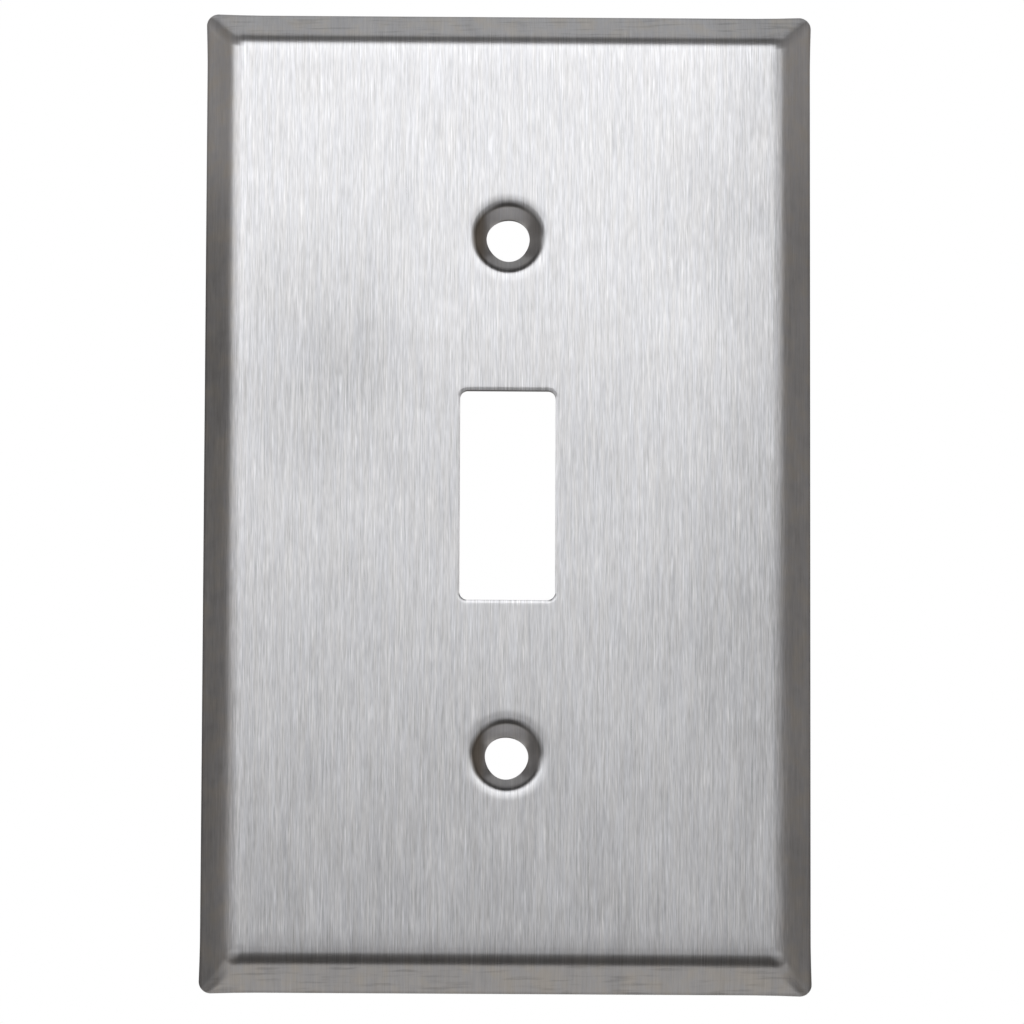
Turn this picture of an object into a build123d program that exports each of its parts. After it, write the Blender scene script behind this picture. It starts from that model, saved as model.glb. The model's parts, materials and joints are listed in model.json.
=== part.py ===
from build123d import *
import math
import os

# Single-gang wall plate for one toggle switch, pressed from one piece of sheet steel.
# Millimetres. +X is to the right, +Z is up and the front faces -Y.
# The wall is the plane Y = 0, and the origin is the middle of the plate on that plane.

# The pan: a flat face with a sloping border that comes back to the wall on all four sides.
PLATE_WIDTH = 69.85          # 2.75 in
PLATE_HEIGHT = 114.3         # 4.5 in
PLATE_DEPTH = 4.5            # from the wall to the front of the face
SHEET = 0.8                  # thickness of the sheet
BORDER_ANGLE = 51.0          # slope of the border, measured from the face
BEND_RADIUS = 3.2            # front of the bend between face and border
RIM_CORNER_RADIUS = 1.35     # corners of the outline, seen from the front
FACE_CORNER_RADIUS = 0.6     # corners of the flat of the face
BACK_RIM_CORNER_RADIUS = 0.9 # corners of the hollow, at the wall
RIM_BREAK = 0.15             # rounding of the rim's outer edge

# The toggle opening, in the middle of the face.
OPENING_WIDTH = 10.95
OPENING_HEIGHT = 24.4
OPENING_CORNER_RADIUS = 0.9
OPENING_ROLLOVER = 0.25      # rounded front edge that the punch leaves

# The two dimpled screw holes, for oval-head screws.
SCREW_SPACING = 60.325       # 2.375 in, hole to hole
SCREW_HOLE_RADIUS = 2.475
SEAT_ANGLE = 82.0            # included angle of the cone that the screw's head sits in
SEAT_DEPTH = 1.9             # from the front of the face to the hole's front edge
SEAT_MOUTH_RADIUS = 0.85     # bend between the face and the seat
HOLE_LENGTH = 0.8            # straight wall of the hole, behind the seat

CUT_MARGIN = 1.0             # how far a cutting solid stands out in front of the face


def level(distance):
    """The plane that lies this far in front of the wall, facing the front, with its Y axis upwards."""
    return Plane(origin=(0, -distance, 0), x_dir=(1, 0, 0), z_dir=(0, -1, 0))


def pan(width, height, depth, bend, rim_corner):
    """A block with sloping sides and rounded corners, and a bend all round its flat front."""
    slope = math.radians(BORDER_ANGLE)
    inset = depth / math.tan(slope)
    # The bend takes in this much of the flat, so the unbent corner is rounder by as much.
    front_corner = FACE_CORNER_RADIUS + bend * math.tan(slope / 2)
    rim = level(0) * RectangleRounded(width, height, rim_corner)
    front = level(depth) * RectangleRounded(width - 2 * inset, height - 2 * inset, front_corner)
    block = loft([rim.face(), front.face()], ruled=True)
    return fillet(block.faces().sort_by(Axis.Y).first.edges(), bend)


def sheet_pan():
    """The bare pan: the block inside the sheet's back is taken from the block inside its front."""
    slope = math.radians(BORDER_ANGLE)
    # Rounding the rim's edge takes this much off the block on every side, so it starts wider.
    overhang = RIM_BREAK / math.tan(slope / 2) - RIM_BREAK
    # The land is the cut end of the sheet, flat on the wall.
    land = SHEET / math.sin(slope)
    width = PLATE_WIDTH + 2 * overhang
    height = PLATE_HEIGHT + 2 * overhang
    front = pan(width, height, PLATE_DEPTH, BEND_RADIUS, RIM_CORNER_RADIUS)
    back = pan(
        width - 2 * land,
        height - 2 * land,
        PLATE_DEPTH - SHEET,
        BEND_RADIUS - SHEET,
        BACK_RIM_CORNER_RADIUS,
    )
    shell = front - back
    rim = shell.faces().sort_by(Axis.Y).last
    return fillet(rim.outer_wire().edges(), RIM_BREAK)


def turned(profile, height):
    """A solid turned about a screw's axis, from points of (radius, distance in front of the wall)."""
    corners = [(radius, -distance) for radius, distance in profile]
    section = make_face(Polyline(*corners, close=True))
    return Pos(0, 0, height) * revolve(section, axis=Axis.Y)


def dimpled(plate, height):
    """The plate with one more dimple: a boss behind the face, a conical seat, and the hole."""
    half_angle = math.radians(SEAT_ANGLE / 2)
    spread = math.tan(half_angle)
    # The seat's two surfaces are one sheet thickness apart, which is more than that straight back.
    straight_back = SHEET / math.sin(half_angle)
    hole_front = PLATE_DEPTH - SEAT_DEPTH
    hole_back = hole_front - HOLE_LENGTH
    inside_sheet = PLATE_DEPTH - SHEET / 2
    boss_front = SCREW_HOLE_RADIUS + (inside_sheet + straight_back - hole_front) * spread
    boss_back = SCREW_HOLE_RADIUS + (hole_back + straight_back - hole_front) * spread
    boss = turned(
        [(0, hole_back), (boss_back, hole_back), (boss_front, inside_sheet), (0, inside_sheet)],
        height,
    )
    tool_front = PLATE_DEPTH + CUT_MARGIN
    tool_radius = SCREW_HOLE_RADIUS + (tool_front - hole_front) * spread
    seat = turned(
        [(0, hole_front), (SCREW_HOLE_RADIUS, hole_front), (tool_radius, tool_front), (0, tool_front)],
        height,
    )
    hole = extrude(level(0) * Pos(0, height) * Circle(SCREW_HOLE_RADIUS), amount=PLATE_DEPTH)
    plate = plate + boss - seat - hole
    rings = face_edges(plate)
    mouth = rings.filter_by(lambda edge: abs(edge.bounding_box().center().Z - height) < SHEET)
    return fillet(mouth, SEAT_MOUTH_RADIUS)


def face_edges(plate):
    """The edges of the openings in the front of the face."""
    face = plate.faces().sort_by(Axis.Y).first
    return ShapeList(edge for wire in face.inner_wires() for edge in wire.edges())


def wall_plate():
    """The whole plate, as one solid."""
    plate = sheet_pan()
    slot = level(0) * RectangleRounded(OPENING_WIDTH, OPENING_HEIGHT, OPENING_CORNER_RADIUS)
    plate = plate - extrude(slot, amount=PLATE_DEPTH + CUT_MARGIN)
    plate = fillet(face_edges(plate), OPENING_ROLLOVER)
    for height in (-SCREW_SPACING / 2, SCREW_SPACING / 2):
        plate = dimpled(plate, height)
    return plate


os.makedirs("parts", exist_ok=True)
export_step(wall_plate(), "parts/wall_plate.step")
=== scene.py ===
"""A brushed stainless-steel wall plate for one toggle switch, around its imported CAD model."""

import json
import math

import bpy
from mathutils import Matrix, Vector


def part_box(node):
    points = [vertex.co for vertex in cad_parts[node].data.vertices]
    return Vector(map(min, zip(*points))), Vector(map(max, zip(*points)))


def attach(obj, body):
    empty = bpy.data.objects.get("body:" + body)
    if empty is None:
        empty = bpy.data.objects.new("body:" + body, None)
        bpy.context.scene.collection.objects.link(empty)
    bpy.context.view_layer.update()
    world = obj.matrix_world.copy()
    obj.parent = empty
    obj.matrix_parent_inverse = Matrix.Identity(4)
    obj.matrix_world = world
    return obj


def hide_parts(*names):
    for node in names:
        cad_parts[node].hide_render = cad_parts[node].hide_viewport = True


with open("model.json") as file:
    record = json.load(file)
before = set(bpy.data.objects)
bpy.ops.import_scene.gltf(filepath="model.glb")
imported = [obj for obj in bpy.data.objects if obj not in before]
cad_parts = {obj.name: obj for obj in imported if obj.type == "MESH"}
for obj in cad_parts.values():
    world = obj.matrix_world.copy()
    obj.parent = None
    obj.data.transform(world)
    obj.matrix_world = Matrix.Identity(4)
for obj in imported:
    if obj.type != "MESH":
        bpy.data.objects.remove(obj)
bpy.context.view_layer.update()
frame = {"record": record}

MM = 0.001

# ---------------------------------------------------------------- the plate's dimensions
# The frame gives the outline, the depth and the screw holes. X is to the right, Z is up,
# the wall is at Y = 0 and the face looks along -Y.
plate_low, plate_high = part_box("wall_plate")
mounts = {mount["name"]: mount for mount in frame["record"]["mounts"]}
hole_sizes = mounts["screw_holes"]["dims"]
HALF_WIDTH = plate_high.x
HALF_HEIGHT = plate_high.z
DEPTH = -plate_low.y
HOLE_RADIUS = hole_sizes["hole_r_mm"] * MM
SCREW_HEIGHT = hole_sizes["spacing_y_mm"] * MM / 2

SHEET = 0.8 * MM                      # thickness of the steel
BORDER_SLOPE = math.radians(51)       # from the face
BEND_RADIUS = 3.2 * MM                # front of the bend between face and border
FACE_CORNER = 0.3 * MM                # corner radius where the flat of the face ends
RIM_CORNER = 1.35 * MM                # corner radius of the outline
BACK_CORNER = 0.9 * MM                # corner radius of the hollow, at the wall
RIM_BREAK = 0.15 * MM                 # rounding of the rim's outer edge
INNER_BREAK = 0.06 * MM               # rounding of the rim's inner edge
MITRE_ROUNDING = 1.2 * MM             # how much rounder the corners are partway down the border
MITRE_SHIFT = 1.3                     # above 1 moves that rounding towards the rim
LEAD_LENGTH = 1.8 * MM                # where the face starts to fall away, before the bend
LEAD_SLOPE = math.radians(1.4)        # of the face by the end of that stretch
EAR = 0.11 * MM                       # how far the pressed corners stand out past the sides
EAR_LENGTH = 2.4 * MM                 # from a corner to where that has mostly gone

OPENING_HALF_WIDTH = 5.475 * MM
OPENING_HALF_HEIGHT = 12.2 * MM
OPENING_CORNER = 0.9 * MM
ROLLOVER_WIDTH = 0.42 * MM            # the front edge that the punch draws in
ROLLOVER_SLOPE = math.radians(19)     # of that edge where it meets the cut
OPENING_BURR = 0.05 * MM              # rounding of the back edge

SEAT_SLOPE = math.radians(53)         # of the steepest part of the screw seats, from the face
SEAT_DEPTH = 1.9 * MM                 # from the face to the hole's front edge
SEAT_MOUTH = 1.3 * MM                 # bend between the face and the seat
SEAT_LEAD_LENGTH = 0.85 * MM          # where the face starts to fall away, before that bend
SEAT_LEAD_SLOPE = math.radians(5)     # of the face by the end of that stretch
SEAT_ROOT = 0.25 * MM                 # bend between the face and the boss, at the back
HOLE_LENGTH = 0.8 * MM                # of the straight wall behind the seat
BOSS_BACK = DEPTH - SEAT_DEPTH - HOLE_LENGTH      # from the wall to the hole's far end
HOLE_BREAK = 0.08 * MM                # rounding of the hole's front and back edges
LIP_BREAK = 0.15 * MM                 # rounding of the boss's end, at the back
HOLE_STRAY = 0.06 * MM                # how far the punched holes stray from round
STRAY_REACH = 0.7 * MM                # how far up the seat that shows
STRAY_LEAN = math.radians(8)          # turns the two holes' shapes opposite ways

# ---------------------------------------------------------------- the mesh's divisions
QUARTER = math.pi / 2                 # a quarter turn
ARC_STEPS = 12                        # round each corner of a rounded rectangle, an even number
CELL = 1.0 * MM                       # of the grid, next to the opening and the dimples
WIDE_CELL = 2.0 * MM                  # elsewhere on the face
CORNER_CELL = 0.2 * MM                # at the corners of the face
CORNER_REACH = CORNER_CELL * ARC_STEPS / 2        # the grid's stretch that feeds half a corner
PATCH_HALF = 8.0 * MM                 # half width of the patches with the opening or a dimple
OPENING_PATCH_HALF = 16.0 * MM        # half height of the patch that holds the opening
GRID_TOLERANCE = CELL / 10            # for telling which grid lines are on a patch's edge
FLAT_MARGIN = 0.25 * MM               # flat ring beside a bend, which keeps the face's shading flat
OPENING_APPROACH = 3                  # rows from the edge of a patch to the opening
DIMPLE_APPROACH = 4                   # and to a dimple
SHARP_ANGLE = math.radians(35)        # edges that turn by more are shaded as sharp
GRAIN_MAP = "grain"                   # the UV map that tells the steel which way its grain runs

# Zones of the sheet, which are also the order of its materials.
BRUSHED, SHEARED, MILL = range(3)


class Sheet:
    """The plate's mesh as it grows. A ring is a closed loop of vertex numbers."""

    def __init__(self):
        self.points = []
        self.faces = []
        self.zones = []

    def ring(self, outline, front):
        """A ring at one distance in front of the wall, from (x, z) points."""
        first = len(self.points)
        self.points += [(x, -front, z) for x, z in outline]
        return list(range(first, len(self.points)))

    def band(self, inner, outer, zone):
        """Quads between two rings, the first of which is nearer to the middle on the front."""
        for i in range(len(inner)):
            j = (i + 1) % len(inner)
            self.faces.append((inner[i], outer[i], outer[j], inner[j]))
            self.zones.append(zone)


def spread(start, end, cell):
    """Evenly spaced values from start to end, about a cell apart."""
    count = max(1, round(abs(end - start) / cell))
    return [start + (end - start) * i / count for i in range(count + 1)]


def limited_share(value, start, end):
    """How far a value is from start to end, held between 0 and 1."""
    return min(1.0, max(0.0, (value - start) / (end - start)))


def grid_lines(edge, *stops):
    """Grid lines from -edge to edge. The stops are (value, cell size up to it), above 0."""
    lines = [0.0]
    for value, cell in [*stops, (edge - CORNER_REACH, WIDE_CELL), (edge, CORNER_CELL)]:
        lines += spread(lines[-1], value, cell)[1:]
    return [-value for value in reversed(lines[1:])] + lines


def rounded_outline(half_width, half_height, corner, across, upwards, dip=0.0):
    """A rounded rectangle, from the lower end of its right side and round by the top.

    across and upwards are shares from -1 to 1 that place the points on the straight stretches.
    dip is how far the middle of each side is drawn in from its ends.
    """
    flat_x = half_width - corner
    flat_z = half_height - corner

    def drawn_in(share, flat):
        """How far a point is drawn in, by its share of a stretch this half long."""
        return dip * (1 - math.exp(-(((1 - abs(share)) * flat / EAR_LENGTH) ** 2)))

    right = [(half_width - drawn_in(share, flat_z), share * flat_z) for share in upwards]
    top = [(-share * flat_x, half_height - drawn_in(share, flat_x)) for share in across]
    left = [(-x, -z) for x, z in right]
    bottom = [(-x, -z) for x, z in top]
    centres = [(flat_x, flat_z), (-flat_x, flat_z), (-flat_x, -flat_z), (flat_x, -flat_z)]
    outline = []
    for quarter, (side, (x, z)) in enumerate(zip((right, top, left, bottom), centres)):
        outline += side
        for step in range(1, ARC_STEPS):
            angle = QUARTER * (quarter + step / ARC_STEPS)
            outline.append((x + corner * math.cos(angle), z + corner * math.sin(angle)))
    return outline


def round_outline(radius, height, count):
    """A circle, from its lower right and round by the top, so that its points match a square's.

    Near the hole it has three faint lobes, one of them at the bottom.
    """
    stray = HOLE_STRAY * limited_share(radius, HOLE_RADIUS + STRAY_REACH, HOLE_RADIUS)
    lean = math.copysign(STRAY_LEAN, height)
    outline = []
    for i in range(count):
        angle = QUARTER * (4 * i / count - 0.5)
        out = radius + stray * math.sin(3 * (angle - lean))
        outline.append((out * math.cos(angle), height + out * math.sin(angle)))
    return outline


def mixed_outline(outline, other, share):
    """Points part of the way from one outline to another."""
    return [
        (x + (far_x - x) * share, z + (far_z - z) * share)
        for (x, z), (far_x, far_z) in zip(outline, other)
    ]


def arc(out, front, radius, start, end, steps):
    """Profile points round a centre. Angle 0 is to the front, and a quarter turn is outwards."""
    angles = [start + (end - start) * i / steps for i in range(steps + 1)]
    return [(out + radius * math.sin(angle), front + radius * math.cos(angle)) for angle in angles]


def led_bend(out, radius, end, lead_length, lead_end, steps):
    """A bend that leaves the flat of the face through a gentler lead, and turns to the angle end.

    Without the lead, the bend would leave the flat at out.
    """
    lead_radius = lead_length / math.sin(abs(lead_end))
    shift = (lead_radius - radius) * math.sin(lead_end)
    lead = arc(out - shift, DEPTH - lead_radius, lead_radius, 0, lead_end, steps=4)
    centre = lead[-1][1] - radius * math.cos(lead_end)
    return lead + arc(out, centre, radius, lead_end, end, steps)[1:]


def slant(profile, point, steps):
    """A profile carried on to a further point by a straight run."""
    out, front = profile[-1]
    return profile + [
        (out + (point[0] - out) * i / steps, front + (point[1] - front) * i / steps)
        for i in range(1, steps + 1)
    ]


# ---------------------------------------------------------------- profiles
# A profile is a list of (out, front) points. out is the distance from the feature's middle or
# outline, away from the middle, and front is the distance in front of the wall.

BORDER_TURN = math.tan(BORDER_SLOPE / 2)          # a bend's reach from its tip, over its radius
RIM_TIP = RIM_BREAK / BORDER_TURN - RIM_BREAK     # where the unrounded edge would be
RIM_INNER = RIM_TIP - SHEET / math.sin(BORDER_SLOPE)
BEND_START = RIM_TIP - DEPTH / math.tan(BORDER_SLOPE) - BEND_RADIUS * BORDER_TURN
FACE_END = BEND_START - LEAD_LENGTH
FLAT_EDGE = FACE_END - FLAT_MARGIN                # the first ring round the face's grid


def border_front():
    """From the flat of the face, round the bend and down the border to the rim."""
    bend = led_bend(BEND_START, BEND_RADIUS, BORDER_SLOPE, LEAD_LENGTH, LEAD_SLOPE, steps=20)
    rim = arc(-RIM_BREAK, RIM_BREAK, RIM_BREAK, BORDER_SLOPE, QUARTER, steps=3)
    return slant(bend, rim[0], steps=8) + rim[1:]


def border_rim():
    """Round the rim's edge, over the land that rests on the wall, to the hollow's edge."""
    outer = arc(-RIM_BREAK, RIM_BREAK, RIM_BREAK, QUARTER, math.pi, steps=4)
    centre = RIM_INNER + INNER_BREAK * BORDER_TURN
    inner = arc(centre, INNER_BREAK, INNER_BREAK, math.pi, math.pi + BORDER_SLOPE, steps=3)
    return slant(outer, inner[0], steps=3) + inner[1:]


def border_back():
    """From the hollow's edge up the back of the border and round the bend to the flat."""
    start = border_rim()[-1:]
    bend = arc(BEND_START, DEPTH - BEND_RADIUS, BEND_RADIUS - SHEET, BORDER_SLOPE, 0, steps=14)
    return slant(start, bend[0], steps=6) + bend[1:]


def opening_front():
    """Over the edge that the punch drew in, which ends crisply at the cut."""
    radius = ROLLOVER_WIDTH / math.sin(ROLLOVER_SLOPE)
    return arc(ROLLOVER_WIDTH, DEPTH - radius, radius, 0, -ROLLOVER_SLOPE, steps=8)


def opening_wall():
    """Down the cut to the back of the face."""
    centre = DEPTH - SHEET + OPENING_BURR
    burr = arc(OPENING_BURR, centre, OPENING_BURR, -QUARTER, -math.pi, steps=3)
    return slant(opening_front()[-1:], burr[0], steps=3) + burr[1:]


def seat_front():
    """From the flat of the face, over the seat's mouth and down the cone to the hole."""
    cone_end = HOLE_RADIUS + SEAT_DEPTH / math.tan(SEAT_SLOPE)
    mouth = led_bend(
        cone_end + SEAT_MOUTH * math.tan(SEAT_SLOPE / 2),
        SEAT_MOUTH,
        -SEAT_SLOPE,
        SEAT_LEAD_LENGTH,
        -SEAT_LEAD_SLOPE,
        steps=14,
    )
    edge = DEPTH - SEAT_DEPTH - HOLE_BREAK * (1 - math.sin(SEAT_SLOPE)) / math.cos(SEAT_SLOPE)
    hole = arc(HOLE_RADIUS + HOLE_BREAK, edge, HOLE_BREAK, -SEAT_SLOPE, -QUARTER, steps=3)
    return slant(mouth, hole[0], steps=5) + hole[1:]


def hole_wall():
    """Down the hole's straight wall to the end of the boss."""
    centre = BOSS_BACK + HOLE_BREAK
    corner = arc(HOLE_RADIUS + HOLE_BREAK, centre, HOLE_BREAK, -QUARTER, -math.pi, steps=3)
    return slant(seat_front()[-1:], corner[0], steps=3) + corner[1:]


def seat_back():
    """Over the end of the boss, up its cone and round its root to the back of the face."""
    straight_back = SHEET / math.cos(SEAT_SLOPE)
    turn = math.tan(SEAT_SLOPE / 2)
    cone_start = HOLE_RADIUS + (straight_back - HOLE_LENGTH) / math.tan(SEAT_SLOPE)
    cone_end = HOLE_RADIUS + (straight_back + SEAT_DEPTH - SHEET) / math.tan(SEAT_SLOPE)
    lip_out = cone_start - LIP_BREAK * turn
    lip = arc(lip_out, BOSS_BACK + LIP_BREAK, LIP_BREAK, -math.pi, -math.pi - SEAT_SLOPE, steps=3)
    root_out = cone_end + SEAT_ROOT * turn
    root = arc(root_out, DEPTH - SHEET - SEAT_ROOT, SEAT_ROOT, -SEAT_SLOPE, 0, steps=5)
    boss = slant(hole_wall()[-1:], lip[0], steps=1) + lip[1:]
    return slant(boss, root[0], steps=4) + root[1:]


# ---------------------------------------------------------------- the plate's mesh

class Face:
    """The flat grid on the front or the back of the face, with a gap for each patch."""

    def __init__(self, sheet, front, facing_front, zone):
        self.across = grid_lines(HALF_WIDTH + FLAT_EDGE - CORNER_REACH, (PATCH_HALF, CELL))
        self.upwards = grid_lines(
            HALF_HEIGHT + FLAT_EDGE - CORNER_REACH,
            (OPENING_PATCH_HALF, CELL),
            (SCREW_HEIGHT - PATCH_HALF, WIDE_CELL),
            (SCREW_HEIGHT + PATCH_HALF, CELL),
        )
        self.numbers = {}
        for i, x in enumerate(self.across):
            for j, z in enumerate(self.upwards):
                if not self.in_patch(x, z):
                    self.numbers[i, j] = len(sheet.points)
                    sheet.points.append((x, -front, z))
        for i in range(len(self.across) - 1):
            for j in range(len(self.upwards) - 1):
                x = (self.across[i] + self.across[i + 1]) / 2
                z = (self.upwards[j] + self.upwards[j + 1]) / 2
                if not self.in_patch(x, z):
                    corners = [(i, j), (i + 1, j), (i + 1, j + 1), (i, j + 1)]
                    quad = [self.numbers[c] for c in corners]
                    sheet.faces.append(tuple(quad if facing_front else reversed(quad)))
                    sheet.zones.append(zone)

    @staticmethod
    def in_patch(x, z):
        """Whether a point is inside a patch, and not on its edge."""
        if abs(x) > PATCH_HALF - GRID_TOLERANCE:
            return False
        in_opening = abs(z) < OPENING_PATCH_HALF - GRID_TOLERANCE
        return in_opening or abs(abs(z) - SCREW_HEIGHT) < PATCH_HALF - GRID_TOLERANCE

    def perimeter(self, low_x, high_x, low_z, high_z):
        """The grid vertices round a rectangle, from its lower right and round by the top."""
        i0, i1 = self.index(self.across, low_x), self.index(self.across, high_x)
        j0, j1 = self.index(self.upwards, low_z), self.index(self.upwards, high_z)
        keys = [(i1, j) for j in range(j0, j1)]
        keys += [(i, j1) for i in range(i1, i0, -1)]
        keys += [(i0, j) for j in range(j1, j0, -1)]
        keys += [(i, j0) for i in range(i0, i1)]
        return [self.numbers[key] for key in keys]

    @staticmethod
    def index(lines, value):
        """The number of the grid line that is nearest to a value."""
        return min(range(len(lines)), key=lambda i: abs(lines[i] - value))


def turned_start(ring):
    """The same ring, started where a rounded rectangle's right side starts, after half a corner."""
    return ring[ARC_STEPS // 2:] + ring[:ARC_STEPS // 2]


def straight_shares(lines):
    """Where grid lines meet the straight stretch of a side, as shares from -1 to 1."""
    inner = lines[ARC_STEPS // 2: len(lines) - ARC_STEPS // 2]
    return [value / inner[-1] for value in inner]


def add_border(sheet, front, back):
    """The rings from the front's edge round the border and the rim to the back's edge."""
    across, upwards = straight_shares(front.across), straight_shares(front.upwards)

    def ring(out, distance, corner, dip):
        """One ring round the plate, this far out from its outline."""
        size = (HALF_WIDTH + out, HALF_HEIGHT + out, corner)
        return sheet.ring(rounded_outline(*size, across, upwards, dip), distance)

    def edge(face):
        """The outer edge of a face's grid."""
        whole = face.perimeter(face.across[0], face.across[-1], face.upwards[0], face.upwards[-1])
        return turned_start(whole)

    def corner_radius(share, rim_corner):
        """A corner's radius, at this share of the way down the border."""
        even = FACE_CORNER + (rim_corner - FACE_CORNER) * share
        return even + MITRE_ROUNDING * math.sin(math.pi * share ** MITRE_SHIFT)

    last = edge(front)
    stations = [(FLAT_EDGE, DEPTH, FACE_CORNER, 0.0, BRUSHED)]
    for out, distance in border_front():
        share = limited_share(out, BEND_START, 0.0)
        corner = corner_radius(share, RIM_CORNER)
        stations.append((out, distance, corner, EAR * share ** 2, BRUSHED))
    for out, distance in border_rim()[1:]:
        share = limited_share(out, 0.0, RIM_INNER)
        corner = RIM_CORNER + (BACK_CORNER - RIM_CORNER) * share
        stations.append((out, distance, corner, EAR, SHEARED))
    for out, distance in border_back()[1:]:
        share = limited_share(out, BEND_START, RIM_INNER)
        corner = corner_radius(share, BACK_CORNER)
        stations.append((out, distance, corner, EAR * share ** 2, MILL))
    stations.append((FLAT_EDGE, DEPTH - SHEET, FACE_CORNER, 0.0, MILL))
    for out, distance, corner, dip, zone in stations:
        following = ring(out, distance, corner, dip)
        sheet.band(last, following, zone)
        last = following
    sheet.band(last, edge(back), MILL)


def add_hole(sheet, front_ring, back_ring, stations, approach):
    """Rings from a patch's edge on the front, through a hole, to its edge on the back.

    stations are (outline, distance, zone), and approach is how many rows lead up to the first
    and away from the last.
    """
    def row(ring, outline, share):
        """A ring at this share of the way from a patch's edge to an outline."""
        distance = -sheet.points[ring[0]][1]
        start = [(sheet.points[n][0], sheet.points[n][2]) for n in ring]
        return sheet.ring(mixed_outline(start, outline, share), distance)

    shares = [i / approach for i in range(1, approach)]
    rings = [(front_ring, BRUSHED)]
    rings += [(row(front_ring, stations[0][0], share), BRUSHED) for share in shares]
    rings += [(sheet.ring(outline, distance), zone) for outline, distance, zone in stations]
    rings += [(row(back_ring, stations[-1][0], share), MILL) for share in reversed(shares)]
    rings.append((back_ring, MILL))
    for (outer, _), (inner, zone) in zip(rings, rings[1:]):
        sheet.band(inner, outer, zone)


def patch_lines(lines, half):
    """The grid lines that cross a patch of this half size round the middle, or edge it."""
    return [value for value in lines if abs(value) < half + GRID_TOLERANCE]


def add_opening(sheet, front, back):
    """The toggle opening, in the middle."""
    box = (-PATCH_HALF, PATCH_HALF, -OPENING_PATCH_HALF, OPENING_PATCH_HALF)
    front_ring = turned_start(front.perimeter(*box))
    back_ring = turned_start(back.perimeter(*box))
    across = straight_shares(patch_lines(front.across, PATCH_HALF))
    upwards = straight_shares(patch_lines(front.upwards, OPENING_PATCH_HALF))

    def station(out, distance, zone):
        """The opening's outline, made larger by this much on each side."""
        size = (OPENING_HALF_WIDTH + out, OPENING_HALF_HEIGHT + out, OPENING_CORNER + out)
        return rounded_outline(*size, across, upwards), distance, zone

    stations = [station(ROLLOVER_WIDTH + FLAT_MARGIN, DEPTH, BRUSHED)]
    stations += [station(*point, BRUSHED) for point in opening_front()]
    stations += [station(*point, SHEARED) for point in opening_wall()[1:]]
    stations.append(station(OPENING_BURR + FLAT_MARGIN, DEPTH - SHEET, MILL))
    add_hole(sheet, front_ring, back_ring, stations, OPENING_APPROACH)


def add_dimple(sheet, front, back, height):
    """One screw hole, in its pressed seat."""
    box = (-PATCH_HALF, PATCH_HALF, height - PATCH_HALF, height + PATCH_HALF)
    front_ring = front.perimeter(*box)
    back_ring = back.perimeter(*box)

    def station(radius, distance, zone):
        """A circle round the hole's axis."""
        return round_outline(radius, height, len(front_ring)), distance, zone

    seat, boss = seat_front(), seat_back()
    stations = [station(seat[0][0] + FLAT_MARGIN, DEPTH, BRUSHED)]
    stations += [station(*point, BRUSHED) for point in seat]
    stations += [station(*point, SHEARED) for point in hole_wall()[1:]]
    stations += [station(*point, MILL) for point in boss[1:]]
    stations.append(station(boss[-1][0] + FLAT_MARGIN, DEPTH - SHEET, MILL))
    add_hole(sheet, front_ring, back_ring, stations, DIMPLE_APPROACH)


def plate_object(materials):
    """The whole plate, one closed mesh of quads."""
    sheet = Sheet()
    front = Face(sheet, DEPTH, True, BRUSHED)
    back = Face(sheet, DEPTH - SHEET, False, MILL)
    add_border(sheet, front, back)
    add_opening(sheet, front, back)
    for height in (-SCREW_HEIGHT, SCREW_HEIGHT):
        add_dimple(sheet, front, back, height)
    mesh = bpy.data.meshes.new("wall_plate_steel")
    mesh.from_pydata(sheet.points, [], sheet.faces)
    for material in materials:
        mesh.materials.append(material)
    mesh.polygons.foreach_set("material_index", sheet.zones)
    mesh.shade_smooth()
    mesh.set_sharp_from_angle(angle=SHARP_ANGLE)
    # The grain runs up the plate, so a flat map of X and Z gives its direction.
    grain = mesh.uv_layers.new(name=GRAIN_MAP)
    for loop in mesh.loops:
        x, _, z = mesh.vertices[loop.vertex_index].co
        grain.data[loop.index].uv = (x / HALF_WIDTH, z / HALF_WIDTH)
    mesh.validate()
    plate = bpy.data.objects.new("wall_plate_steel", mesh)
    bpy.context.scene.collection.objects.link(plate)
    return plate


# ---------------------------------------------------------------- materials

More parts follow.
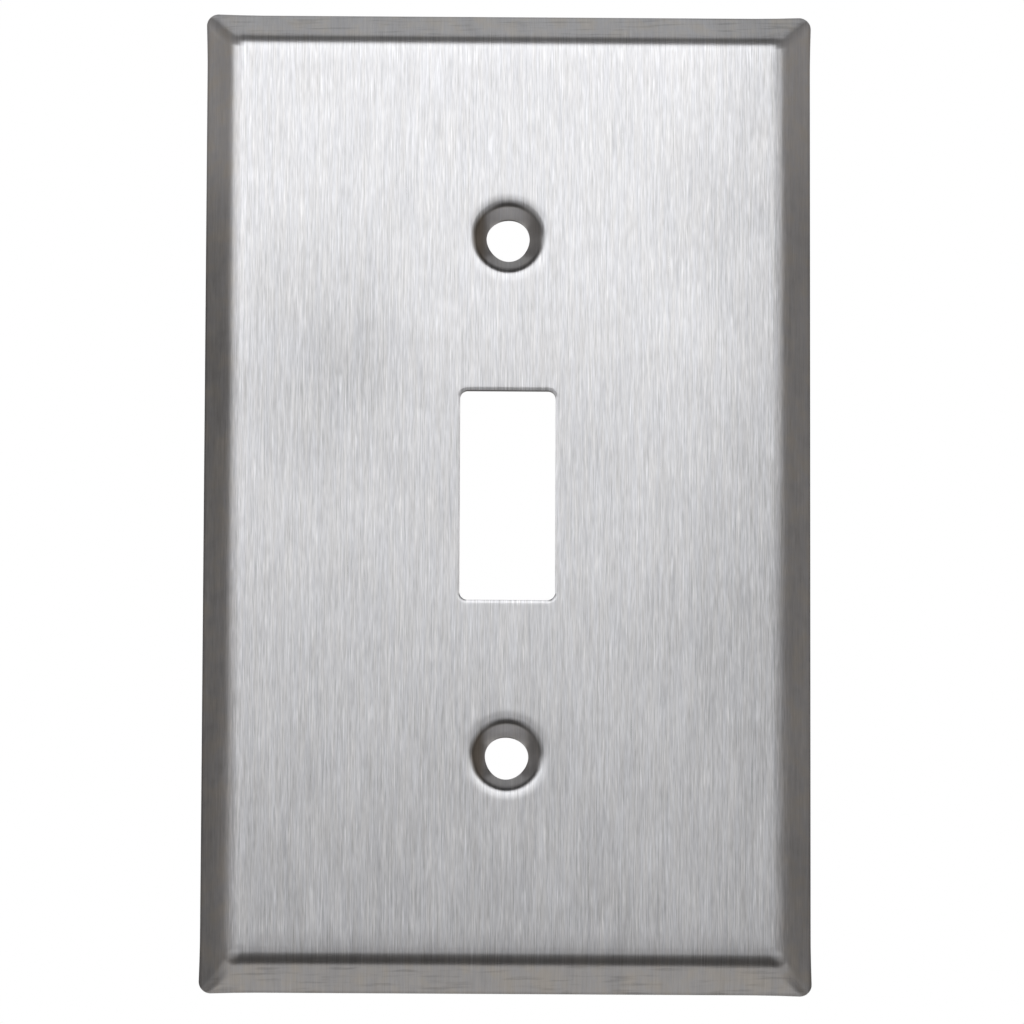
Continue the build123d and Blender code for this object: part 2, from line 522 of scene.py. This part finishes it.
class Shader:
    """A material's node tree, with short ways to add nodes and join them."""

    def __init__(self, name):
        self.material = bpy.data.materials.new(name)
        self.material.use_nodes = True
        self.tree = self.material.node_tree
        self.tree.nodes.clear()
        self.surface = self.tree.nodes.new("ShaderNodeBsdfPrincipled")
        output = self.tree.nodes.new("ShaderNodeOutputMaterial")
        self.tree.links.new(self.surface.outputs["BSDF"], output.inputs["Surface"])
        coordinates = self.tree.nodes.new("ShaderNodeTexCoord")
        self.position = coordinates.outputs["Object"]
        parts = self.tree.nodes.new("ShaderNodeSeparateXYZ")
        self.tree.links.new(self.position, parts.inputs["Vector"])
        self.x = parts.outputs["X"]
        self.z = parts.outputs["Z"]

    def put(self, node, socket, value):
        """Sets a socket to a number or colour, or links it to another node's output."""
        if isinstance(value, bpy.types.NodeSocket):
            self.tree.links.new(value, node.inputs[socket])
        else:
            node.inputs[socket].default_value = value

    def noise(self, size, detail=2.0, offset=(0.0, 0.0, 0.0), lean=0.0):
        """Noise from 0 to 1, whose grains are about this size in metres along X, Y and Z.

        lean turns the grains about Y, in degrees.
        """
        turned = self.tree.nodes.new("ShaderNodeVectorRotate")
        turned.rotation_type = "Y_AXIS"
        turned.inputs["Angle"].default_value = math.radians(lean)
        self.tree.links.new(self.position, turned.inputs["Vector"])
        mapping = self.tree.nodes.new("ShaderNodeMapping")
        mapping.inputs["Location"].default_value = offset
        mapping.inputs["Scale"].default_value = [1 / length for length in size]
        self.tree.links.new(turned.outputs["Vector"], mapping.inputs["Vector"])
        noise = self.tree.nodes.new("ShaderNodeTexNoise")
        noise.inputs["Scale"].default_value = 1.0
        noise.inputs["Detail"].default_value = detail
        noise.inputs["Roughness"].default_value = 0.5
        self.tree.links.new(mapping.outputs["Vector"], noise.inputs["Vector"])
        return noise.outputs["Fac"]

    def streaks(self, width, length, detail=2.0, offset=(0.0, 0.0), lean=0.0):
        """Noise with grains of this width across the plate and this length up it.

        It hardly changes through the plate's depth, so the marks carry on over the bends.
        """
        x, z = offset
        return self.noise((width, GRAIN_DEPTH, length), detail, (x, 0.0, z), lean)

    def math(self, operation, a, b=0.0, c=0.0):
        """The result of one operation on numbers or on other nodes' outputs."""
        node = self.tree.nodes.new("ShaderNodeMath")
        node.operation = operation
        for socket, value in enumerate((a, b, c)):
            self.put(node, socket, value)
        return node.outputs["Value"]

    def length(self, across, upwards):
        """The length of a line that goes this far across and upwards."""
        squared = self.math("MULTIPLY", across, across)
        return self.math("SQRT", self.math("MULTIPLY_ADD", upwards, upwards, squared))

    def fade(self, value, start, end, at_start=0.0, at_end=1.0, smooth=True):
        """Goes from at_start to at_end as a value goes from start to end, and is held beyond."""
        node = self.tree.nodes.new("ShaderNodeMapRange")
        node.interpolation_type = "SMOOTHSTEP" if smooth else "LINEAR"
        for socket, number in enumerate((value, start, end, at_start, at_end)):
            self.put(node, socket, number)
        return node.outputs["Result"]

    def total(self, *terms):
        """The sum of (value, weight) terms, each counted from a value of one half."""
        result = None
        for value, weight in terms:
            scaled = self.math("MULTIPLY_ADD", value, weight, -weight / 2)
            result = scaled if result is None else self.math("ADD", result, scaled)
        return result

    def mix(self, share, colour, other, blend="MIX"):
        """A colour with this share of another mixed in."""
        node = self.tree.nodes.new("ShaderNodeMix")
        node.data_type = "RGBA"
        node.blend_type = blend
        self.put(node, "Factor", share)
        # Its colour sockets share their names with others, so they are found by place.
        for socket, value in ((6, colour), (7, other)):
            self.put(node, socket, value)
        return node.outputs[2]

    def brighten(self, colour, gain):
        """A colour times a number."""
        combine = self.tree.nodes.new("ShaderNodeCombineColor")
        for channel in ("Red", "Green", "Blue"):
            self.put(combine, channel, gain)
        return self.mix(1.0, colour, combine.outputs["Color"], "MULTIPLY")

    def bare_metal(self, colour, roughness):
        """Makes the surface bare metal of this colour and roughness."""
        self.put(self.surface, "Base Color", colour)
        self.put(self.surface, "Metallic", 1.0)
        self.put(self.surface, "Roughness", roughness)

    def bump(self, relief, height):
        """Gives the surface a relief, of this height in metres for each 1 of its value."""
        node = self.tree.nodes.new("ShaderNodeBump")
        node.inputs["Strength"].default_value = 1.0
        node.inputs["Distance"].default_value = height
        self.tree.links.new(relief, node.inputs["Height"])
        self.put(self.surface, "Normal", node.outputs["Normal"])


# Colours of the bare metal.
STEEL = (0.654, 0.652, 0.662, 1.0)
BLUER_STEEL = (0.644, 0.649, 0.674, 1.0)
BROWNED_STEEL = (0.63, 0.59, 0.53, 1.0)
OILY_STEEL = (0.5, 0.42, 0.33, 1.0)
SHEARED_STEEL = (0.55, 0.545, 0.54, 1.0)
MILL_STEEL = (0.74, 0.74, 0.745, 1.0)

BRUSHED_ROUGHNESS = 0.31
SHEARED_ROUGHNESS = 0.42
MILL_ROUGHNESS = 0.36
BRUSHED_RELIEF = 0.002 * MM
SHEARED_RELIEF = 0.004 * MM
MILL_RELIEF = 0.0015 * MM
GRAIN_DEPTH = 40 * MM                 # of the streaks' grains, far more than the plate's depth
ANISOTROPY = 0.45                     # how far the grain draws highlights out across it
RUBBED_GRAIN = 0.34                   # share of the grain left on the border and in the seats
MITRE_FADE = 0.4 * MM                 # half width of the change between two borders' marks
MIDDLE_FADE = 1 * MM                  # the same, between the left's and the right's

# Fades: start, end, and the values there. Those of grime and of painted light and shade are the
# share of the steel's brightness that is lost, or a factor on that; a value below 0 is painted
# light.
BORDER_INWARDS = (2.3 * MM, 4.3 * MM, 1.0, 0.0)
SEAT_OUTWARDS = (3.7 * MM, 4.3 * MM, 1.0, 0.0)
# Painted shade in the seats: the lower half, the sides and a ring round the mouth.
SEAT_PAINTED_SHADE_DOWNWARDS = (1.0 * MM, -1.6 * MM, 0.0, 0.34)
SEAT_PAINTED_SHADE_SIDEWAYS = (1.8 * MM, 3.1 * MM, 0.0, 0.36)
SEAT_OIL_LEFTWARDS = (-2.2 * MM, -3.3 * MM, 0.1, 0.8)
MOUTH_PAINTED_SHADE_START = (3.5 * MM, 3.9 * MM, 0.0, 0.33)
MOUTH_PAINTED_SHADE_END = (4.1 * MM, 4.5 * MM, 1.0, 0.0)
RIM_GRIME_INWARDS = (0.15 * MM, 0.45 * MM, 0.2, 0.0)
# Painted light and shade on the side borders: lighter at the top, darker lower down.
LEFT_PAINTED_LIGHT_DOWNWARDS = (46 * MM, 24 * MM, -0.08, 0.41)
LEFT_PAINTED_LIGHT_INWARDS = (-33.6 * MM, -31.4 * MM, 1.0, 0.6)
RIGHT_PAINTED_LIGHT_DOWNWARDS = (50 * MM, 26 * MM, -0.24)                 # and on to the next one
LOW_RIGHT_PAINTED_LIGHT_DOWNWARDS = (-26 * MM, -46 * MM, 0.04, 0.22)
CORNER_GRIME_WIDTH = 0.3 * MM
CORNER_GRIME_ENDS = (0.85, 0.1)
# The same, by the value of a noise.
PRESS_MARKS = (0.5, 0.72, 0.0, 0.22)
BRIGHT_SCRATCHES = (0.64, 0.76, 0.0, 0.14)
BLUER_STREAKS = (0.35, 0.65)
BROWNED_BLOTCHES = (0.42, 0.68, 0.0, 0.55)

# Smudges on the face: centre X and Z, half width and height, and the brightness that is lost.
SMUDGES = (
    (-20.5 * MM, 22.0 * MM, 10.0 * MM, 12.0 * MM, 0.10),
    (-24.0 * MM, 12.0 * MM, 14.0 * MM, 11.0 * MM, 0.07),
    (22.5 * MM, 34.0 * MM, 6.5 * MM, 8.0 * MM, 0.08),
    (24.5 * MM, -12.0 * MM, 9.5 * MM, 15.0 * MM, 0.09),
    (33.0 * MM, 12.0 * MM, 10.5 * MM, 75.0 * MM, 0.15),
    (-4.0 * MM, 8.0 * MM, 34.0 * MM, 12.0 * MM, 0.05),
)
SMUDGE_EDGE = (0.7, 1.8)              # where a smudge starts to fade and has gone, in half sizes
SMUDGE_RAGGEDNESS = 0.9               # how far a noise moves that edge


def smudges(shader):
    """The brightness lost to the smudges that handling has left on the face."""
    ragged = shader.streaks(5 * MM, 11 * MM, detail=3.0, offset=(4.4, 6.1))
    total = 0.0
    for x, z, half_width, half_height, strength in SMUDGES:
        across = shader.math("MULTIPLY_ADD", shader.x, 1 / half_width, -x / half_width)
        upwards = shader.math("MULTIPLY_ADD", shader.z, 1 / half_height, -z / half_height)
        out = shader.length(across, upwards)
        out = shader.math("MULTIPLY_ADD", ragged, SMUDGE_RAGGEDNESS, out)
        total = shader.math("ADD", total, shader.fade(out, *SMUDGE_EDGE, strength, 0.0))
    return total


def outline_distances(shader):
    """How far in a place is from the nearer side of the outline, and from its nearer end."""
    side = shader.math("SUBTRACT", HALF_WIDTH, shader.math("ABSOLUTE", shader.x))
    end = shader.math("SUBTRACT", HALF_HEIGHT, shader.math("ABSOLUTE", shader.z))
    return side, end


def border_masks(shader):
    """How far a place is on the border, on its top or bottom, and on its sides, from 0 to 1."""
    side, end = outline_distances(shader)
    border = shader.fade(shader.math("MINIMUM", side, end), *BORDER_INWARDS)
    difference = shader.math("SUBTRACT", side, end)
    level = shader.fade(difference, -MITRE_FADE, MITRE_FADE, smooth=False)
    level = shader.math("MULTIPLY", border, level)
    return border, level, shader.math("SUBTRACT", border, level)


def rim_grime(shader):
    """The brightness lost to a fine line of dirt along the border's outer edge."""
    return shader.fade(shader.math("MINIMUM", *outline_distances(shader)), *RIM_GRIME_INWARDS)


def side_painted_light(shader):
    """Painted light and shade on the border's sides: the brightness lost, more lower down. Their
    painted-light tops are below 0.
    """
    left = shader.fade(shader.z, *LEFT_PAINTED_LIGHT_DOWNWARDS)
    inwards = shader.fade(shader.x, *LEFT_PAINTED_LIGHT_INWARDS, smooth=False)
    left = shader.math("MULTIPLY", left, inwards)
    low_right = shader.fade(shader.z, *LOW_RIGHT_PAINTED_LIGHT_DOWNWARDS)
    right = shader.fade(shader.z, *RIGHT_PAINTED_LIGHT_DOWNWARDS, low_right)
    return shader.fade(shader.x, -MIDDLE_FADE, MIDDLE_FADE, left, right, smooth=False)


def press_marks(shader):
    """The brightness lost to fine marks that the press left across the grain."""
    rubbed = shader.streaks(5 * MM, 0.4 * MM, detail=4.0, offset=(5.0, 1.3), lean=1.0)
    return shader.fade(rubbed, *PRESS_MARKS)


def seat_masks(shader):
    """How far a place is in a screw's seat, from 0 to 1, and the brightness lost to painted shade
    there.
    """
    upwards = shader.math("MULTIPLY_ADD", shader.math("SIGN", shader.z), -SCREW_HEIGHT, shader.z)
    radius = shader.length(shader.x, upwards)
    seat = shader.fade(radius, *SEAT_OUTWARDS)
    # Painted shade darkens the lower half, the left and right, and a ring round the mouth, where
    # the seat's recess lies in shade.
    low = shader.fade(upwards, *SEAT_PAINTED_SHADE_DOWNWARDS)
    aside = shader.fade(shader.math("ABSOLUTE", shader.x), *SEAT_PAINTED_SHADE_SIDEWAYS)
    ring_start = shader.fade(radius, *MOUTH_PAINTED_SHADE_START)
    ring = shader.math("MULTIPLY", ring_start, shader.fade(radius, *MOUTH_PAINTED_SHADE_END))
    return seat, shader.math("MULTIPLY_ADD", seat, shader.math("MAXIMUM", low, aside), ring)


def corner_grime(shader):
    """The brightness lost to dirt on the drawn-in edge, at the opening's two lower corners."""
    centre_x = OPENING_HALF_WIDTH - OPENING_CORNER
    centre_z = OPENING_CORNER - OPENING_HALF_HEIGHT
    across = shader.math("SUBTRACT", shader.math("ABSOLUTE", shader.x), centre_x)
    down = shader.math("SUBTRACT", centre_z, shader.z)
    radius = shader.length(across, down)
    limit = OPENING_CORNER + CORNER_GRIME_WIDTH
    edge = shader.fade(radius, OPENING_CORNER, limit, *CORNER_GRIME_ENDS)
    edge = shader.math("MULTIPLY", edge, shader.math("LESS_THAN", radius, limit))
    # It fades where the corner turns into the straight edges.
    nearest = shader.math("MINIMUM", across, down)
    turn = shader.fade(nearest, 0.0, CORNER_GRIME_WIDTH, smooth=False)
    return shader.math("MULTIPLY", edge, turn)


def brushed_steel():
    """The front: stainless sheet that was brushed up and down before it was pressed."""
    shader = Shader("brushed_stainless")
    border, level, upright = border_masks(shader)
    seat, seat_painted_shade = seat_masks(shader)
    blotch = shader.streaks(2.2 * MM, 2.6 * MM, detail=3.0, offset=(0.4, 3.8))

    # Grain: hair-fine scratches, short and long, coarser drags, bright scratches and broad bands.
    short = shader.streaks(0.13 * MM, 1.9 * MM, lean=0.5)
    long = shader.streaks(0.16 * MM, 7.5 * MM, offset=(7.2, 4.9), lean=-0.2)
    drag = shader.streaks(0.4 * MM, 7.5 * MM, detail=1.0, offset=(3.1, 5.7), lean=0.5)
    bright = shader.streaks(0.2 * MM, 3.5 * MM, detail=0.0, offset=(2.6, 8.8))
    band = shader.streaks(2.5 * MM, 16 * MM, offset=(8.3, 2.2))
    grain = shader.total((short, 0.6), (long, 0.64), (drag, 0.19))
    bright_grain = shader.fade(bright, *BRIGHT_SCRATCHES, smooth=False)
    grain = shader.math("ADD", grain, bright_grain)
    # Pressing rubbed the grain down on the border and in the seats.
    pressed = shader.math("MAXIMUM", border, seat)
    keep = shader.fade(pressed, 0.0, 1.0, 1.0, RUBBED_GRAIN, smooth=False)

    gain = shader.math("MULTIPLY_ADD", grain, keep, 1.0)
    gain = shader.math("ADD", gain, shader.total((band, 0.16)))
    gain = shader.math("MULTIPLY_ADD", shader.total((blotch, 0.34)), border, gain)
    # The seats' and the sides' losses are painted shade, and the sides' tops are painted light; the
    # rest are marks and dirt.
    losses = (
        shader.math("MULTIPLY", press_marks(shader), level),
        smudges(shader),
        seat_painted_shade,
        rim_grime(shader),
        corner_grime(shader),
        shader.math("MULTIPLY", upright, side_painted_light(shader)),
    )
    for loss in losses:
        gain = shader.math("SUBTRACT", gain, loss)

    tint = shader.streaks(0.5 * MM, 8.0 * MM, detail=1.0, offset=(1.7, 9.4))
    tint = shader.fade(tint, *BLUER_STREAKS, smooth=False)
    colour = shader.mix(tint, STEEL, BLUER_STEEL)
    # The border has browned here and there, and a trace of oil stays on the left of the seats.
    brown = shader.math("MULTIPLY", border, shader.fade(blotch, *BROWNED_BLOTCHES))
    colour = shader.mix(brown, colour, BROWNED_STEEL)
    oil = shader.math("MULTIPLY", shader.fade(shader.x, *SEAT_OIL_LEFTWARDS), seat)
    colour = shader.mix(oil, colour, OILY_STEEL)

    roughness = shader.total((long, 0.12), (band, 0.06))
    roughness = shader.math("ADD", roughness, BRUSHED_ROUGHNESS)
    shader.bare_metal(shader.brighten(colour, gain), roughness)
    relief = shader.total((short, 1.0), (long, 1.0), (drag, 1.0))
    shader.bump(shader.math("MULTIPLY", relief, keep), BRUSHED_RELIEF)
    shader.put(shader.surface, "Anisotropic", ANISOTROPY)
    tangent = shader.tree.nodes.new("ShaderNodeTangent")
    tangent.direction_type = "UV_MAP"
    tangent.uv_map = GRAIN_MAP
    shader.put(shader.surface, "Tangent", tangent.outputs["Tangent"])
    return shader.material


def sheared_steel():
    """The cut edges: gritty, with the fine lines that the punch and the shear left."""
    shader = Shader("sheared_edge")
    lines = shader.noise((0.09 * MM, 3 * MM, 0.09 * MM))
    grit = shader.noise((0.05 * MM, 0.05 * MM, 0.05 * MM))
    gain = shader.math("ADD", shader.total((lines, 0.35), (grit, 0.2)), 1.0)
    roughness = shader.math("ADD", shader.total((grit, 0.2)), SHEARED_ROUGHNESS)
    shader.bare_metal(shader.brighten(SHEARED_STEEL, gain), roughness)
    shader.bump(shader.total((lines, 1.0), (grit, 0.5)), SHEARED_RELIEF)
    return shader.material


def mill_steel():
    """The back: the sheet's own dull rolled finish, with faint rolling lines and blotches."""
    shader = Shader("mill_finish")
    rolled = shader.streaks(0.25 * MM, 14 * MM)
    blotch = shader.streaks(11 * MM, 11 * MM, detail=3.0, offset=(2.0, 7.0))
    grit = shader.noise((0.08 * MM, 0.08 * MM, 0.08 * MM))
    gain = shader.math("ADD", shader.total((rolled, 0.26), (blotch, 0.22), (grit, 0.1)), 1.0)
    roughness = shader.total((blotch, 0.14), (grit, 0.08))
    roughness = shader.math("ADD", roughness, MILL_ROUGHNESS)
    shader.bare_metal(shader.brighten(MILL_STEEL, gain), roughness)
    shader.bump(shader.total((rolled, 1.0), (grit, 0.6)), MILL_RELIEF)
    return shader.material


# ---------------------------------------------------------------- the stage

CAMERA_LENS = 406.8                   # mm, on a sensor 36 mm wide
CAMERA_REACH = 200.0                  # metres, past the floor's far corners
CAMERA_DISTANCE = 1328.6 * MM
CAMERA_TILT = math.radians(10.542)    # how far the camera is below the plate's square view
CAMERA_TURN = math.radians(-0.664)
CAMERA_ROLL = math.radians(0.219)
CAMERA_SIDEWAYS = 0.561 * MM
CAMERA_DOWN = 1.139 * MM

FLOOR_HEIGHT = -0.42
FLOOR_HALF = 100.0                    # metres from the middle to each edge
FLOOR_COLOUR = (0.86, 0.86, 0.85, 1.0)
FLOOR_ROUGHNESS = 0.8

WHITE = (1.0, 1.0, 1.0, 1.0)
# The room that the steel reflects: its colour, its brightness in front, behind, above and below,
# and how much is added to that at the far left and right.
REFLECTED_COLOUR = (1.0, 0.94, 0.89, 1.0)
REFLECTED_BRIGHTNESS = 0.064
REFLECTED_AT_SIDES = 0.205

NEUTRAL = (1.0, 1.0, 1.0)
WARM = (1.0, 0.967, 0.93)

# Soft panels round the plate: name, azimuth (0 is in front, 90 to the right), elevation,
# distance, width, height, brightness and colour. Degrees and metres.
PANELS = (
    ("key", -3.5, 26.85, 0.75, 0.8, 0.485, 1.435, NEUTRAL),
    ("left_strip", -50, 18.5, 0.75, 0.56, 0.22, 1.2, NEUTRAL),
    ("right_strip", 42.5, 18.5, 0.75, 0.45, 0.22, 0.86, NEUTRAL),
    ("low_fill", 0, -11.5, 1.0, 2.4, 0.56, 0.34, NEUTRAL),
    ("left_low", -42, -26, 0.6, 0.45, 0.3, 0.17, NEUTRAL),
    ("right_low", 42, -26, 0.6, 0.45, 0.3, 0.17, NEUTRAL),
    ("top_back", 180, 68, 0.8, 1.1, 1.04, 0.365, NEUTRAL),
    ("under_back", 180, -73.5, 0.8, 3.2, 0.94, 0.385, WARM),
    ("left_back", -150, -12, 0.7, 0.4, 0.5, 0.45, NEUTRAL),
    ("right_back", 150, -12, 0.7, 0.4, 0.5, 0.45, NEUTRAL),
)


def add_camera():
    """A long lens in front of the plate, a little below it and looking up."""
    data = bpy.data.cameras.new("camera")
    data.lens = CAMERA_LENS
    data.clip_end = CAMERA_REACH
    camera = bpy.data.objects.new("camera", data)
    # The camera starts square to the face. It is turned about the middle of the wall plane.
    camera.matrix_world = (
        Matrix.Rotation(QUARTER, 4, "X")
        @ Matrix.Rotation(CAMERA_TURN, 4, "Y")
        @ Matrix.Rotation(CAMERA_TILT, 4, "X")
        @ Matrix.Rotation(CAMERA_ROLL, 4, "Z")
        @ Matrix.Translation((CAMERA_SIDEWAYS, -CAMERA_DOWN, CAMERA_DISTANCE))
    )
    bpy.context.scene.collection.objects.link(camera)
    bpy.context.scene.camera = camera


def add_panel(lit, name, azimuth, elevation, distance, width, height, brightness, colour):
    """A soft rectangular light that faces the plate, and lights only the objects in lit."""
    data = bpy.data.lights.new(name, "AREA")
    data.shape = "RECTANGLE"
    data.size = width
    data.size_y = height
    # A panel's brightness is its power, spread over its area and over pi.
    data.energy = brightness * math.pi * width * height
    data.color = colour
    light = bpy.data.objects.new(name, data)
    azimuth, elevation = math.radians(azimuth), math.radians(elevation)
    away = Vector((
        math.sin(azimuth) * math.cos(elevation),
        -math.cos(azimuth) * math.cos(elevation),
        math.sin(elevation),
    ))
    light.location = away * distance
    light.rotation_euler = away.to_track_quat("Z", "Y").to_euler()
    light.visible_camera = False
    light.light_linking.receiver_collection = lit
    bpy.context.scene.collection.objects.link(light)


def add_world():
    """A white room to the camera and the floor, which the steel reflects as a dim grey.

    The reflected grey is low in front, above, below and behind, and rises towards the sides.
    """
    world = bpy.data.worlds.new("studio")
    world.use_nodes = True
    tree = world.node_tree
    tree.nodes.clear()
    room = tree.nodes.new("ShaderNodeBackground")
    room.inputs["Color"].default_value = WHITE
    room.inputs["Strength"].default_value = 1.0
    reflected = tree.nodes.new("ShaderNodeBackground")
    reflected.inputs["Color"].default_value = REFLECTED_COLOUR
    direction = tree.nodes.new("ShaderNodeTexCoord")
    parts = tree.nodes.new("ShaderNodeSeparateXYZ")
    tree.links.new(direction.outputs["Generated"], parts.inputs["Vector"])
    square = tree.nodes.new("ShaderNodeMath")
    square.operation = "MULTIPLY"
    tree.links.new(parts.outputs["X"], square.inputs[0])
    tree.links.new(parts.outputs["X"], square.inputs[1])
    strength = tree.nodes.new("ShaderNodeMath")
    strength.operation = "MULTIPLY_ADD"
    tree.links.new(square.outputs["Value"], strength.inputs[0])
    strength.inputs[1].default_value = REFLECTED_AT_SIDES
    strength.inputs[2].default_value = REFLECTED_BRIGHTNESS
    tree.links.new(strength.outputs["Value"], reflected.inputs["Strength"])
    # Rays that bounce off the steel see the grey, and all others see the white room.
    path = tree.nodes.new("ShaderNodeLightPath")
    mix = tree.nodes.new("ShaderNodeMixShader")
    tree.links.new(path.outputs["Is Glossy Ray"], mix.inputs["Fac"])
    tree.links.new(room.outputs["Background"], mix.inputs[1])
    tree.links.new(reflected.outputs["Background"], mix.inputs[2])
    output = tree.nodes.new("ShaderNodeOutputWorld")
    tree.links.new(mix.outputs["Shader"], output.inputs["Surface"])
    bpy.context.scene.world = world


def add_floor():
    """A pale floor, well below the plate."""
    edges = (-FLOOR_HALF, FLOOR_HALF)
    corners = [(x, y, FLOOR_HEIGHT) for y in edges for x in edges]
    mesh = bpy.data.meshes.new("floor")
    mesh.from_pydata(corners, [], [(0, 1, 3, 2)])
    shader = Shader("floor_paint")
    grain = shader.noise((0.05, 0.05, 0.05), detail=3.0)
    gain = shader.math("ADD", shader.total((grain, 0.03)), 1.0)
    shader.put(shader.surface, "Base Color", shader.brighten(FLOOR_COLOUR, gain))
    shader.put(shader.surface, "Roughness", FLOOR_ROUGHNESS)
    mesh.materials.append(shader.material)
    floor = bpy.data.objects.new("floor", mesh)
    floor.visible_glossy = False
    bpy.context.scene.collection.objects.link(floor)


def add_stage(plate):
    """The camera, the room, the floor and the lights."""
    add_camera()
    add_world()
    add_floor()
    # The panels leave the floor alone, so that it stays even.
    lit = bpy.data.collections.new("lit_by_panels")
    lit.objects.link(plate)
    for panel in PANELS:
        add_panel(lit, *panel)
    bpy.context.scene.view_settings.view_transform = "Standard"


plate = plate_object([brushed_steel(), sheared_steel(), mill_steel()])
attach(plate, "root")
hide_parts("wall_plate")
add_stage(plate)
